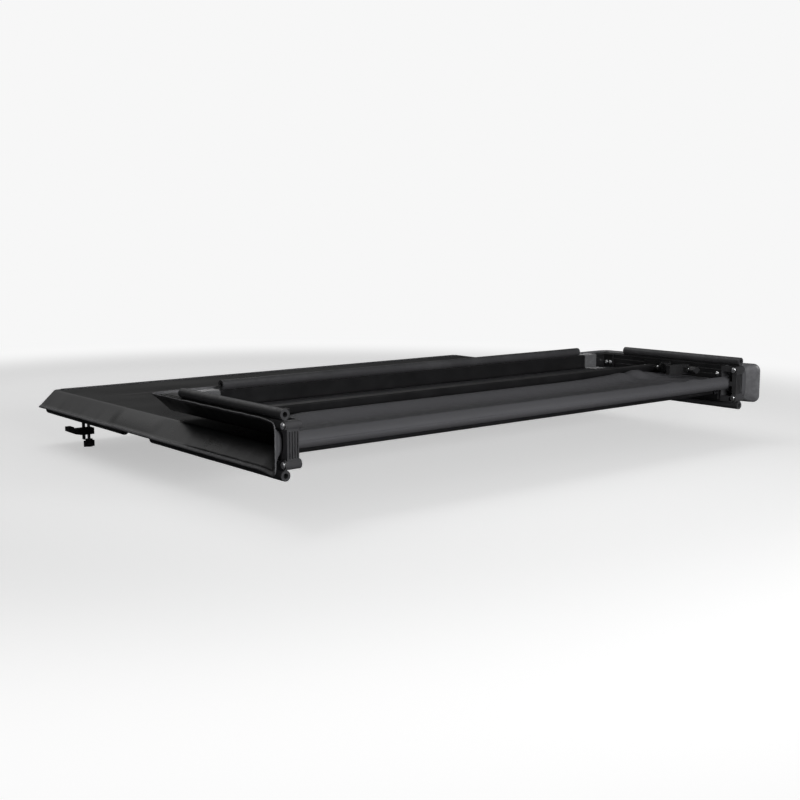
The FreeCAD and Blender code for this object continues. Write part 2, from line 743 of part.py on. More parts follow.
def strap_buckle():
    """Side-release buckle at the cab edge, for the strap that ties the folded stack down."""
    body = new_body("buckle")
    front = S["front_end"] + 14
    face = sketch_on(body, "XZ_Plane", -front)
    rectangle(face, (as_size(424), as_size(38)), (as_size(466), as_size(60)))
    pad(body, face, 10)
    round_edges(body, 4, runs_along(FreeCAD.Vector(0, 1, 0)))
    slots = sketch_on(body, "XZ_Plane", -front)
    rectangle(slots, (as_size(430), as_size(42)), (as_size(460), as_size(46)))
    rectangle(slots, (as_size(430), as_size(51)), (as_size(460), as_size(54)))
    pocket(body, slots, 10, backwards=True)
    return body


def stow_strap():
    """Webbing that hangs the buckle from the front rail."""
    body = new_body("stow strap")
    band = sketch_on(body, "YZ_Plane", S["tie_line"])
    front = S["front_end"]
    polygon(band, [
        (front - 8, 20), (front + 3.4, 20), (front + 3.4, 43.2), (front + 8, 43.2), (front + 8, 44.8),
        (front + 1.8, 44.8), (front + 1.8, 21.6), (front - 8, 21.6),
    ])
    pad(body, band, S["tie_width"])
    return body


A, B = S["front_pins"], S["middle_front"]
C, D = S["middle_back"], S["rear_front"]
TAIL = S["rear_end"]
BACK = S["rail_setback"]
EDGE = S["tarp_setback"]
INWARD = S["hinge_bow"]
SEAT = S["rail_inner"] - S["bow_plate"]
SCREW_Z = S["pin_height"] + S["screw_rise"]
RAIL_SCREWS = (as_size(-43), as_size(-29))


def bow_screws(middles):
    """Where the screws of these bows go, on the right-hand side."""
    steps = (-S["bow_pitch"], S["bow_pitch"])
    return [(SEAT, middle + step, SCREW_Z) for middle in middles for step in steps]



# front panel
both_sides("front_rail", side_rail(S["front_end"], A + BACK, as_drawn))
front_mid = -S["front_bow"]
lead_plate = (as_size(-52), S["front_end"])
keep(cross_rail(as_size(-20), S["front_end"], as_size(0), lead_plate, RAIL_SCREWS, as_drawn), "lead_rail")
keep(bow(front_mid, as_drawn), "front_mid_bow")
keep(bow(A + INWARD, as_drawn), "front_hinge_bow")
keep(panel_vinyl(S["front_end"], A + EDGE, "front", as_drawn), "front_vinyl")
keep(cross_seal(as_size(0), S["seal_line"] - 12, SEAT, as_drawn), "bulkhead_seal")
seal_front = S["front_end"] - 2
both_sides("front_seal", side_seal((seal_front, A), (seal_front, A + BACK), as_drawn))
fork = hinge_bracket(A, 1, as_drawn)
group("front_hinge_forks", [fork, mirrored(fork)])
seats = [(SEAT, y, SCREW_Z) for y in RAIL_SCREWS] + bow_screws((front_mid, A + INWARD))
clamp_seat = S["rail_inner"] - S["wall_thick"]
seats += [(clamp_seat, S["front_clamp"] + step, SCREW_Z) for step in CLAMP_SCREWS]
screw_set("front_screws", seats, as_drawn)
angle = front_bracket()
group("front_clamp_brackets", [angle, mirrored(angle)])
buckle = strap_buckle()
group("strap_buckles", [buckle, mirrored(buckle)])
tie = stow_strap()
group("stow_straps", [tie, mirrored(tie)])

# front folding links
both_sides("front_link", folding_link(A, S["front_gap"], 13, as_drawn))
keep(link_vinyl(A, S["front_gap"], as_drawn), "front_link_vinyl")
pins = [hinge_pin(A, S["pin_height"]), hinge_pin(B, S["pin_height"])]
group("front_link_pins", pins + [mirrored(pin) for pin in pins])

# middle panel
both_sides("middle_rail", side_rail(B - BACK, C + BACK, as_drawn))
middle_mid = (B + C) * 0.5
middle_bows = (B - INWARD, middle_mid, C + INWARD)
for name, y in zip(("middle_front_bow", "middle_mid_bow", "middle_hinge_bow"), middle_bows):
    keep(bow(y, as_drawn), name)
keep(panel_vinyl(B - EDGE, C + EDGE, None, as_drawn), "middle_vinyl")
both_sides("middle_seal", side_seal((B, C), (B - BACK, C + BACK), as_drawn))
forks = [hinge_bracket(B, -1, as_drawn), hinge_bracket(C, 1, as_drawn)]
group("middle_hinge_forks", forks + [mirrored(item) for item in forks])
screw_set("middle_screws", bow_screws(middle_bows), as_drawn)

# rear folding links
both_sides("rear_link", folding_link(C, S["rear_gap"], 6, stand_up))
keep(link_vinyl(C, S["rear_gap"], stand_up), "rear_link_vinyl")
pins = [hinge_pin(C, S["pin_height"]), hinge_pin(C, S["pin_height"] + S["rear_gap"])]
group("rear_link_pins", pins + [mirrored(pin) for pin in pins])

# rear panel
both_sides("rear_rail", side_rail(D - BACK, TAIL, fold_over))
rear_mid = D - S["rear_bow"]
keep(bow(rear_mid, fold_over), "rear_mid_bow")
tail_front = TAIL + S["tail_rail_deep"]
tail_middle = TAIL + S["tail_rail_deep"] * 0.5
tail_screws = (tail_front + 10, tail_front + 25)
tail_plate = (TAIL, tail_front + 34)
keep(cross_rail(TAIL, tail_front, tail_middle, tail_plate, tail_screws, fold_over), "tail_rail")
keep(panel_vinyl(D - EDGE, TAIL, "tail", fold_over), "rear_vinyl")
seal_end = D - S["tail_seal_end"]
both_sides("rear_seal", side_seal((D, seal_end), (D - BACK, seal_end), fold_over))
keep(cross_seal(tail_middle, S["tail_seal_half"], S["tail_seal_half"], fold_over), "tail_seal")
fork = hinge_bracket(D, -1, fold_over)
group("rear_hinge_forks", [fork, mirrored(fork)])
seats = bow_screws([rear_mid]) + [(SEAT, y, SCREW_Z) for y in tail_screws]
seats.append((S["rail_inner"], D - BACK - 12, SCREW_Z))
screw_set("rear_screws", seats, fold_over)
band = tail_strap(TAIL, tail_front, fold_over)
group("tail_straps", [band, mirrored(band)])
pivot = rear_pivot()
place(pivot, S["clamp_line"], S["fold_y"] - (D - S["rear_clamp"]), S["fold_z"] - S["clamp_datum"], angle=180)
group("rear_clamp_pivots", [pivot, mirrored(pivot)])

# clamps
both_sides("front_clamp_screw", hang_front(clamp_screw()))
both_sides("front_clamp_knob", hang_front(clamp_knob()))
both_sides("front_clamp_jaw", hang_front(clamp_jaw()))
both_sides("rear_clamp_arm", stow_rear(rear_arm()))
both_sides("rear_clamp_screw", stow_rear(clamp_screw()))
both_sides("rear_clamp_knob", stow_rear(clamp_knob()))
both_sides("rear_clamp_jaw", stow_rear(clamp_jaw()))

doc.recompute()
for item in doc.Objects:
    if "Invalid" in item.State or "Error" in item.State:
        raise RuntimeError(f"{item.Name} {item.Label}: {item.State}")
os.makedirs("parts", exist_ok=True)
for item in nodes:
    shape = item.Shape
    if shape.isNull() or not shape.isValid():
        raise RuntimeError(f"{item.Label} has no valid shape")
    shape.exportStep(f"parts/{item.Label}.step")
    box = shape.BoundBox
    limits = (box.XMin, box.XMax, box.YMin, box.YMax, box.ZMin, box.ZMax)
    print(item.Label, len(shape.Solids), [round(v, 1) for v in limits])
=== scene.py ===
import json
import math

import bmesh
import bpy
import numpy as np
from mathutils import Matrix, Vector


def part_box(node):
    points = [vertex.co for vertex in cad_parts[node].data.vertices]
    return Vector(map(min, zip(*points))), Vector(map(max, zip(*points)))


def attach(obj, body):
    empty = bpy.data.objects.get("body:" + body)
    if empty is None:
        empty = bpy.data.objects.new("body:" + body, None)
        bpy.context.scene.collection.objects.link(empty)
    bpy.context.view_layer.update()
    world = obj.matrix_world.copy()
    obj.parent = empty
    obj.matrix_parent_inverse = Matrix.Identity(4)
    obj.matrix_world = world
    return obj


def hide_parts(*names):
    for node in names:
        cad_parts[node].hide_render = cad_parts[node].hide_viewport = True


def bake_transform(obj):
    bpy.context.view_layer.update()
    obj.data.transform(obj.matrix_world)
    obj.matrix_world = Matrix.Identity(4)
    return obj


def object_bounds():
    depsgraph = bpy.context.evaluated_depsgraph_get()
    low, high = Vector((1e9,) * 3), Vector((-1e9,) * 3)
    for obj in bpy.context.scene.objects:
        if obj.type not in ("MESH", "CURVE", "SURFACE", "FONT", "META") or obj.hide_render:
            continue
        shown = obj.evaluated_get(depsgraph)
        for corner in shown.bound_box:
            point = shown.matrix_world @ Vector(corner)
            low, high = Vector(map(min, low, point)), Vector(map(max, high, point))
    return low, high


# Soft folding tonneau cover with its rear panel turned over onto the middle one.
# The frame's metal and plastic comes from the CAD. The vinyl, the bulb seals and the webbing are
# built here. Lengths are in metres, in the row frame: X right, Y forward, Z up.

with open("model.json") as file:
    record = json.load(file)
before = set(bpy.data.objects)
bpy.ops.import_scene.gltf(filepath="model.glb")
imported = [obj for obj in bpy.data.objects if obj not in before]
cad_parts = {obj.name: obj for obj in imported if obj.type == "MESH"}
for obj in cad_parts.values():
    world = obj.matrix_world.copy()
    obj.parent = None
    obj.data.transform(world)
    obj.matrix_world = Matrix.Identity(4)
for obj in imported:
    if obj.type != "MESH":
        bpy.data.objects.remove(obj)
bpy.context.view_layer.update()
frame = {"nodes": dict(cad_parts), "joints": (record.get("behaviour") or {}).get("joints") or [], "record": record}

MM = 0.001
joint_at = {j["name"]: Vector(j["pos_m"]) for j in frame["joints"] if "pos_m" in j}
PIN_A = joint_at["front_link_hinge"]
PIN_B = joint_at["middle_panel_hinge"]
PIN_C = joint_at["rear_link_hinge"]
PIN_D = joint_at["rear_panel_hinge"]

# ---- sizes taken from the frame ----

vinyl_low, vinyl_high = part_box("front_vinyl")
HALF_WIDTH = vinyl_high.x
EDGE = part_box("front_link_vinyl")[1].x
RAIL_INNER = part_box("lead_rail")[1].x
TOP = vinyl_high.z - PIN_A.z
HEM = vinyl_low.z - PIN_A.z
FRONT_END = vinyl_high.y
TAIL_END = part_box("tail_rail")[1].y
TAIL_ROOT = TAIL_END - 4 * MM
FLAP_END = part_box("rear_vinyl")[1].y
LINK_MIDDLE = (PIN_D.z - PIN_C.z) / 2
BULB_RADIUS = (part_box("front_seal_right")[1].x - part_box("front_seal_right")[0].x) / 2
BOW_HALF = 16 * MM         # half the width of a bow's flat top
LEAD_RAIL_WIDE = 35 * MM
TAIL_RAIL_WIDE = 36 * MM

# ---- sizes of the soft goods ----

SHEET = 1.5 * MM
SAG = 1.8 * MM           # of the taut sheet, midway between two bows
RIPPLE = 0.4 * MM        # of the side skirts, at their hem
SEAM_FADE = 50 * MM      # length over which sag and ripple fade out at a panel's seams
ROW_STEP = 7 * MM
BEND = 9 * MM            # radius between top and skirt
PANEL_CUT = 58 * MM      # pins to the seam between a panel's piece and its fold piece
HEM_SWELL = 0.7 * MM     # how much the sewn hem stands proud on each face
BULB_BORE = 5.5 * MM
WEBBING = 1.6 * MM


def smooth(share):
    share = np.clip(share, 0, 1)
    return share * share * (3 - 2 * share)


def between(low, high, share):
    return low + (high - low) * share


# ---- node materials ----


class Finish:
    """A procedural material: a Principled surface with helpers for its colour, roughness and bump nodes."""

    def __init__(self, name, roughness, metallic=0.0):
        self.material = bpy.data.materials.new(name)
        self.material.use_nodes = True
        self.tree = self.material.node_tree
        self.surface = self.tree.nodes["Principled BSDF"]
        self.surface.inputs["Metallic"].default_value = metallic
        self.surface.inputs["Roughness"].default_value = roughness
        self.place = self.node("ShaderNodeTexCoord").outputs["Object"]
        self.relief = None

    def node(self, kind, **settings):
        made = self.tree.nodes.new(kind)
        for key, value in settings.items():
            setattr(made, key, value)
        return made

    def feed(self, node, key, value):
        if isinstance(value, bpy.types.NodeSocket):
            self.tree.links.new(value, node.inputs[key])
        else:
            node.inputs[key].default_value = value

    def stretched(self, x, y, z):
        mapping = self.node("ShaderNodeMapping")
        self.feed(mapping, "Vector", self.place)
        self.feed(mapping, "Scale", (x, y, z))
        return mapping.outputs["Vector"]

    def noise(self, scale, detail=3.0, at=None):
        made = self.node("ShaderNodeTexNoise")
        self.feed(made, "Vector", at or self.place)
        self.feed(made, "Scale", scale)
        self.feed(made, "Detail", detail)
        return made.outputs["Fac"]

    def pebbles(self, scale):
        made = self.node("ShaderNodeTexVoronoi", feature="SMOOTH_F1")
        self.feed(made, "Vector", self.place)
        self.feed(made, "Scale", scale)
        return made.outputs["Distance"]

    def waves(self, scale, direction, distortion=0.0):
        made = self.node("ShaderNodeTexWave", bands_direction=direction)
        self.feed(made, "Vector", self.place)
        self.feed(made, "Scale", scale)
        self.feed(made, "Distortion", distortion)
        return made.outputs["Fac"]

    def remap(self, value, low, high, out_low=0.0, out_high=1.0):
        made = self.node("ShaderNodeMapRange", interpolation_type="SMOOTHSTEP")
        self.feed(made, "Value", value)
        limits = {"From Min": low, "From Max": high, "To Min": out_low, "To Max": out_high}
        for key, number in limits.items():
            self.feed(made, key, number)
        return made.outputs["Result"]

    def combine(self, operation, first, second):
        made = self.node("ShaderNodeMath", operation=operation)
        self.feed(made, 0, first)
        self.feed(made, 1, second)
        return made.outputs["Value"]

    def tint(self, factor, first, second):
        made = self.node("ShaderNodeMix", data_type="RGBA")
        self.feed(made, "Factor", factor)
        for key, color in (("A", first), ("B", second)):
            socket = next(s for s in made.inputs if s.name == key and s.type == "RGBA")
            if isinstance(color, bpy.types.NodeSocket):
                self.tree.links.new(color, socket)
            else:
                socket.default_value = (*color, 1)
        return next(s for s in made.outputs if s.type == "RGBA")

    def color(self, value):
        self.feed(self.surface, "Base Color", value)

    def roughness(self, value):
        self.feed(self.surface, "Roughness", value)

    def shine(self, level):
        self.surface.inputs["Specular IOR Level"].default_value = level

    def sheen(self, weight):
        self.surface.inputs["Sheen Weight"].default_value = weight
        self.surface.inputs["Sheen Roughness"].default_value = 0.5

    def bump(self, height, depth, strength=0.6):
        made = self.node("ShaderNodeBump")
        self.feed(made, "Height", height)
        self.feed(made, "Distance", depth)
        self.feed(made, "Strength", strength)
        if self.relief:
            self.tree.links.new(self.relief, made.inputs["Normal"])
        self.relief = made.outputs["Normal"]
        self.feed(self.surface, "Normal", self.relief)

    def worn_edges(self, radius):
        """1 on sharp outer edges, 0 on faces, broken up by noise."""
        bevel = self.node("ShaderNodeBevel", samples=4)
        self.feed(bevel, "Radius", radius)
        normal = self.node("ShaderNodeNewGeometry").outputs["Normal"]
        agree = self.node("ShaderNodeVectorMath", operation="DOT_PRODUCT")
        self.feed(agree, 0, bevel.outputs["Normal"])
        self.feed(agree, 1, normal)
        edge = self.remap(agree.outputs["Value"], 0.98, 0.80)
        return self.combine("MULTIPLY", edge, self.remap(self.noise(160, 5), 0.42, 0.62))


def coated_metal(name, dark, light, roughness, grain):
    """Black coat over metal: orange-peel bump, cloudy gloss and slightly paler, rubbed edges."""
    finish = Finish(name, roughness)
    clouds = finish.noise(9, 4)
    body = finish.tint(finish.remap(clouds, 0.3, 0.7), dark, light)
    wear = finish.worn_edges(0.9 * MM)
    finish.color(finish.tint(finish.combine("MULTIPLY", wear, 0.5), body, (0.16, 0.16, 0.165)))
    finish.roughness(finish.remap(finish.noise(35, 5), 0.3, 0.7, roughness - 0.06, roughness + 0.1))
    finish.bump(finish.noise(grain, 2), 0.12 * MM, 0.5)
    return finish.material


def zinc_plate():
    """Bright plated steel with fine turning marks and a dull film in places."""
    finish = Finish("zinc plate", 0.3, metallic=1.0)
    film = finish.remap(finish.noise(70, 5), 0.4, 0.7)
    finish.color(finish.tint(film, (0.88, 0.89, 0.91), (0.70, 0.70, 0.69)))
    finish.roughness(finish.remap(finish.noise(240, 4), 0.3, 0.7, 0.28, 0.44))
    finish.bump(finish.noise(60, 2, finish.stretched(1, 22, 22)), 0.05 * MM, 0.4)
    return finish.material


def seal_rubber():
    """Extruded rubber: matte, with faint streaks along it and dusty patches."""
    finish = Finish("seal rubber", 0.5)
    dust = finish.remap(finish.noise(14, 6), 0.45, 0.8)
    finish.color(finish.tint(dust, (0.045, 0.045, 0.048), (0.070, 0.070, 0.074)))
    finish.roughness(finish.remap(finish.noise(120, 4), 0.3, 0.7, 0.42, 0.6))
    finish.bump(finish.noise(700, 2), 0.08 * MM, 0.4)
    finish.bump(finish.noise(50, 2, finish.stretched(6, 6, 0.4)), 0.15 * MM, 0.3)
    return finish.material


def cover_vinyl():
    """Outer face of the cover: black vinyl embossed with a fine leather grain."""
    finish = Finish("cover vinyl", 0.42)
    clouds = finish.remap(finish.noise(3, 3), 0.3, 0.7)
    finish.color(finish.tint(clouds, (0.010, 0.010, 0.0108), (0.014, 0.014, 0.0152)))
    finish.roughness(finish.remap(finish.noise(6, 3), 0.3, 0.7, 0.27, 0.32))
    finish.bump(finish.pebbles(650), 0.2 * MM, 0.25)
    finish.shine(0.35)
    return finish.material


def vinyl_backing():
    """Inner face of the cover: charcoal scrim cloth pressed into the vinyl."""
    finish = Finish("vinyl backing", 0.5)
    weave = finish.combine("ADD", finish.waves(420, "X"), finish.waves(420, "Y"))
    patches = finish.remap(finish.noise(3, 3), 0.3, 0.7)
    base = finish.tint(patches, (0.076, 0.076, 0.081), (0.088, 0.088, 0.094))
    finish.color(finish.tint(finish.remap(weave, 0.4, 1.6), base, (0.100, 0.100, 0.106)))
    finish.roughness(finish.remap(finish.noise(60, 4), 0.3, 0.7, 0.44, 0.58))
    finish.bump(weave, 0.12 * MM, 0.35)
    finish.shine(0.06)
    return finish.material


def hem_vinyl_painted_highlight():
    """Doubled, stitched hem: the same vinyl, painted many times paler as a painted highlight for the light it
    catches along its fold, varied in random patches.
    """
    finish = Finish("hem vinyl painted highlight", 0.4)
    # Both pale tones are painted highlight on the hem; this noise only varies them in patches.
    rubbed = finish.remap(finish.noise(90, 5), 0.4, 0.65)
    finish.color(finish.tint(rubbed, (0.125, 0.125, 0.131), (0.155, 0.155, 0.163)))
    finish.roughness(finish.remap(finish.noise(160, 4), 0.3, 0.7, 0.34, 0.5))
    finish.bump(finish.pebbles(650), 0.2 * MM, 0.5)
    return finish.material


def thread():
    """Twisted polyester sewing thread."""
    finish = Finish("sewing thread", 0.6)
    twist = finish.noise(1500, 2)
    finish.color(finish.tint(twist, (0.045, 0.045, 0.048), (0.11, 0.11, 0.115)))
    finish.roughness(finish.remap(finish.noise(900, 2), 0.3, 0.7, 0.5, 0.7))
    finish.bump(twist, 0.1 * MM)
    return finish.material


def woven_webbing():
    """Grey webbing with its ribs running across the strap."""
    finish = Finish("woven webbing", 0.75)
    weave = finish.combine("MULTIPLY", finish.waves(260, "X", 0.4), finish.waves(330, "Z", 0.4))
    worn = finish.remap(finish.noise(60, 5), 0.4, 0.7)
    base = finish.tint(worn, (0.16, 0.162, 0.168), (0.26, 0.262, 0.268))
    finish.color(finish.tint(weave, (0.07, 0.071, 0.075), base))
    finish.roughness(finish.remap(finish.noise(300, 3), 0.3, 0.7, 0.68, 0.86))
    finish.bump(weave, 0.4 * MM, 0.8)
    finish.sheen(0.3)
    return finish.material


def moulded_plastic():
    """Black nylon with a spark-eroded texture and paler, worn edges."""
    finish = Finish("moulded plastic", 0.5)
    wear = finish.worn_edges(1.2 * MM)
    base = finish.tint(finish.noise(20, 4), (0.016, 0.016, 0.017), (0.028, 0.028, 0.030))
    finish.color(finish.tint(finish.combine("MULTIPLY", wear, 0.4), base, (0.12, 0.12, 0.125)))
    finish.roughness(finish.remap(finish.noise(200, 4), 0.3, 0.7, 0.42, 0.6))
    finish.bump(finish.noise(1300, 2), 0.12 * MM, 0.6)
    return finish.material


looks = {
    "frame": coated_metal("powder coat", (0.009, 0.009, 0.0095), (0.013, 0.013, 0.0138), 0.36, 900),
    "hinge": coated_metal("hinge coat", (0.042, 0.042, 0.044), (0.062, 0.062, 0.065), 0.34, 1100),
    "clamp": coated_metal("clamp coat", (0.014, 0.014, 0.0145), (0.022, 0.022, 0.023), 0.34, 1300),
    "zinc": zinc_plate(),
    "seal": seal_rubber(),
    "vinyl": cover_vinyl(),
    "backing": vinyl_backing(),
    "hem": hem_vinyl_painted_highlight(),
    "thread": thread(),
    "webbing": woven_webbing(),
    "knob": moulded_plastic(),
}

for part in frame["record"]["subparts"]:
    node = frame["nodes"][part["node"]]
    node.data.materials.clear()
    node.data.materials.append(looks[part["material_slot"]])


# ---- mesh helpers ----


def make_object(name, points, faces, materials, face_materials=None):
    mesh = bpy.data.meshes.new(name)
    mesh.from_pydata([tuple(p) for p in points], [], [tuple(f) for f in faces])
    for material in materials:
        mesh.materials.append(looks[material])
    if face_materials is not None:
        mesh.polygons.foreach_set("material_index", face_materials)
    work = bmesh.new()
    work.from_mesh(mesh)
    bmesh.ops.recalc_face_normals(work, faces=work.faces)
    work.to_mesh(mesh)
    work.free()
    mesh.polygons.foreach_set("use_smooth", [True] * len(mesh.polygons))
    mesh.set_sharp_from_angle(angle=math.radians(50))
    obj = bpy.data.objects.new(name, mesh)
    bpy.context.scene.collection.objects.link(obj)
    return obj


def shell(name, outer, inner, is_hem):
    """Closed sheet between two grids of points (rows, columns, 3), with the vinyl on the outer one.
    Is_hem tells, for the outer and the inner grid, which columns belong to the sewn hem."""
    rows, columns = outer.shape[:2]
    points = np.concatenate([outer.reshape(-1, 3), inner.reshape(-1, 3)])
    under = rows * columns
    faces = []
    kinds = []
    for i in range(rows - 1):
        for j in range(columns - 1):
            a = i * columns + j
            quad = (a, a + 1, a + columns + 1, a + columns)
            faces.append(quad)
            kinds.append(2 if is_hem[0][j] and is_hem[0][j + 1] else 0)
            faces.append(tuple(under + k for k in reversed(quad)))
            kinds.append(2 if is_hem[1][j] and is_hem[1][j + 1] else 1)
    rim = [i * columns for i in range(rows)]
    rim += [(rows - 1) * columns + j for j in range(1, columns)]
    rim += [i * columns + columns - 1 for i in range(rows - 2, -1, -1)]
    rim += list(range(columns - 2, 0, -1))
    # The sheet's cut edges take the hem material too, so they carry its painted highlight.
    for here, there in zip(rim, rim[1:] + rim[:1]):
        faces.append((here, there, under + there, under + here))
        kinds.append(2)
    obj = make_object(name, points, faces, ("vinyl", "backing", "hem"), kinds)
    return obj


# ---- cross-section of the cover ----

TOP_STEPS = 44
BEND_STEPS = 6
SKIRT_SHARES = (0.10, 0.22, 0.34, 0.46, 0.58, 0.67, 0.69, 0.78, 0.85, 0.87, 0.93, 0.985, 1.0)
HEM_OUTSIDE = 0.86       # share of the skirt where the hem's bead starts on the outer face
HEM_INSIDE = 0.68        # and where its turned-in edge ends on the inner face


def half_section():
    """Right half of the outer face: columns of across, height, slope and share of the way down the skirt."""
    run = HALF_WIDTH - EDGE
    slope = math.atan2(TOP - HEM, run)
    tangent = BEND * math.tan(slope / 2)
    columns = [(x, TOP, 0.0, 0.0) for x in np.linspace(0, EDGE - tangent, TOP_STEPS, endpoint=False)]
    for k in range(BEND_STEPS + 1):
        turn = slope * k / BEND_STEPS
        across = EDGE - tangent + BEND * math.sin(turn)
        columns.append((across, TOP - BEND * (1 - math.cos(turn)), turn, 0.0))
    start = columns[-1]
    for share in SKIRT_SHARES:
        across = between(start[0], HALF_WIDTH, share)
        columns.append((across, between(start[1], HEM, share), slope, share))
    return np.array(columns)


right = half_section()
left = right[:0:-1].copy()
left[:, 0] *= -1
left[:, 2] *= -1
ACROSS, HEIGHT, SLOPE, SKIRT = np.concatenate([left, right]).T
OUT_X = np.sin(SLOPE)
OUT_H = np.cos(SLOPE)
IS_HEM = (SKIRT > HEM_OUTSIDE, SKIRT > HEM_INSIDE)
SWELL = np.where(IS_HEM[0] & (SKIRT < 0.99), HEM_SWELL, 0.0)
SWELL_INSIDE = np.where(IS_HEM[1] & (SKIRT < 0.99), HEM_SWELL, 0.0)
DROP = np.clip((TOP - HEIGHT) / (TOP - HEM), 0, 1)


def faces_of_section(extra):
    """Across and height of the outer and the inner face, both pushed outwards by the extra amount."""
    outer = (ACROSS + OUT_X * (SWELL + extra), HEIGHT + OUT_H * (SWELL + extra))
    depth = SHEET + SWELL_INSIDE - extra
    inner = (ACROSS - OUT_X * depth, HEIGHT - OUT_H * depth)
    return outer, inner


def ripple(y):
    """Soft waves along a skirt, growing towards its hem."""
    wave = np.sin(y * 61 + ACROSS * 3) + 0.6 * np.sin(y * 143 + np.sign(ACROSS) * 1.3)
    return RIPPLE * wave * DROP ** 1.5


def sag_between(y, supports):
    """How far the taut sheet hangs between neighbouring supports: 0 on each, deepest midway."""
    for near, far in zip(supports, supports[1:]):
        if near < y < far:
            return SAG * math.sin(math.pi * (y - near) / (far - near)) ** 2
    return 0.0


def bow_faces(nodes):
    """Where the bows hold the sheet up, sorted along Y."""
    edges = []
    for node in nodes:
        low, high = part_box(node)
        middle = (low.y + high.y) / 2
        edges += [middle - BOW_HALF, middle + BOW_HALF]
    return sorted(edges)


FLATNESS = np.clip(1 - (ACROSS / (0.96 * RAIL_INNER)) ** 4, 0, 1) * (DROP < 0.001)


def panel_sheet(name, y_low, y_high, pin_z, up, supports, slack, body, node):
    """Vinyl of one panel. Up is -1 on the panel that rests upside down. Slack lifts the loose rear sheet."""
    rows = max(int((y_high - y_low) / ROW_STEP), 2)
    outer = []
    inner = []
    for y in np.linspace(y_low, y_high, rows + 1):
        ends = smooth((y - y_low) / SEAM_FADE) * smooth((y_high - y) / SEAM_FADE)
        push = ripple(y) * ends - sag_between(y, supports) * FLATNESS * ends
        (outer_x, outer_h), (inner_x, inner_h) = faces_of_section(push)
        lift = slack(ACROSS, y)
        depth = np.full_like(ACROSS, y)
        outer.append(np.stack([outer_x, depth, pin_z + up * outer_h + lift], axis=1))
        inner.append(np.stack([inner_x, depth, pin_z + up * inner_h + lift], axis=1))
    outer = np.array(outer)
    inner = np.array(inner)
    obj = shell(name, outer, inner, IS_HEM)
    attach(obj, body)
    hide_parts(node)
    return outer


def no_slack(across, y):
    return np.zeros_like(across)


REAR_BOW = bow_faces(["rear_mid_bow"])
# Waves of the loose rear sheet: height, distance ahead of the pins, half-width.
ROLL = (2 * MM, 55 * MM, 30 * MM)
CREASE = (-1 * MM, 110 * MM, 20 * MM)
BILLOW = (17 * MM, 178 * MM, 30 * MM)
DRIFT = 70 * MM            # how much further ahead the crease lies on the right
PULL = 4 * MM              # height of the pull lines
PULL_AT = 0.58             # where across the cover they are
LOOSE_TO = 0.70            # how far across the sheet is loose


def swell_at(ahead, wave):
    """Height of one loose wave at a distance ahead of the pins."""
    height, place, half_width = wave
    return height * np.exp(-(((ahead - place) / half_width) ** 2))


def rear_slack(across, y):
    """Loose sheet of the folded rear panel: a low roll behind the hinge, a crease, then a billow up to the
    bow. On the right the crease drifts to the bow and pull lines run down to the hinge."""
    ahead = y - PIN_C.y
    room = REAR_BOW[0] - PIN_C.y
    ends = smooth((LOOSE_TO - np.abs(across)) / 0.12) * (DROP < 0.001)
    drift = DRIFT * smooth((across - 0.25) / 0.33)
    waves = swell_at(ahead, ROLL) + swell_at(ahead - drift, CREASE) + swell_at(ahead - drift * 0.6, BILLOW)
    pulled = np.exp(-(((across - PULL_AT) / 0.09) ** 2))
    pull = PULL * pulled * np.sin((across + 0.55 * ahead) * 75)
    held = smooth((ahead - 19 * MM) / (30 * MM)) * smooth((room - ahead) / (20 * MM))
    return (waves + pull) * ends * held


# ---- the three panels ----

front_bows = bow_faces(["front_hinge_bow", "front_mid_bow"])
front_bows.append(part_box("lead_rail")[1].y - LEAD_RAIL_WIDE)
middle_bows = bow_faces(["middle_front_bow", "middle_mid_bow", "middle_hinge_bow"])
front_outer = panel_sheet(
    "front_cover", PIN_A.y + PANEL_CUT, FRONT_END - SHEET, PIN_A.z, 1, front_bows, no_slack,
    "front_panel", "front_vinyl",
)
middle_outer = panel_sheet(
    "middle_cover", PIN_C.y + PANEL_CUT, PIN_B.y - PANEL_CUT, PIN_C.z, 1, middle_bows, no_slack,
    "middle_panel", "middle_vinyl",
)
rear_bows = [REAR_BOW[1], TAIL_END - TAIL_RAIL_WIDE]
rear_outer = panel_sheet(
    "rear_cover", PIN_C.y + PANEL_CUT, TAIL_ROOT, PIN_D.z, -1, rear_bows, rear_slack,
    "rear_panel", "rear_vinyl",
)


# ---- vinyl over the front folding links, lying flat ----

FRONT_BELLY = 3 * MM     # how far the link pins push the skirts out
FRONT_SAG = 1.5 * MM


def front_fold(name, pin, way, node=None):
    """Half of the sheet over the front links, from a panel's seam to midway between the pins.
    Way is the Y direction from the pins to the links' middle."""
    reach = abs(PIN_A.y - PIN_B.y) / 2
    outer = []
    inner = []
    for s in np.linspace(-PANEL_CUT, reach, 46):
        free = smooth((s + PANEL_CUT) / (PANEL_CUT - 6 * MM))
        push = FRONT_BELLY * free * np.sin(math.pi * DROP) - FRONT_SAG * free * FLATNESS
        (outer_x, outer_h), (inner_x, inner_h) = faces_of_section(push)
        depth = np.full_like(ACROSS, pin.y + way * s)
        outer.append(np.stack([outer_x, depth, pin.z + outer_h], axis=1))
        inner.append(np.stack([inner_x, depth, pin.z + inner_h], axis=1))
    obj = shell(name, np.array(outer), np.array(inner), IS_HEM)
    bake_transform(obj)
    if node:
        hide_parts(node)


front_fold("front_fold_fore", PIN_A, -1, "front_link_vinyl")
front_fold("front_fold_aft", PIN_B, 1)


# ---- vinyl round the rear fold ----

REAR_CORNER = 18 * MM      # largest radius of the sheet's turn at the fold
REAR_DIP = 7 * MM          # how far the slack top sheet sinks in that turn
HEM_BEHIND = 32 * MM       # how far behind the pins the hem's loop reaches
HEM_SPREAD = 16 * MM       # how much wider than the cover that loop stands
TURN_ROWS = 36


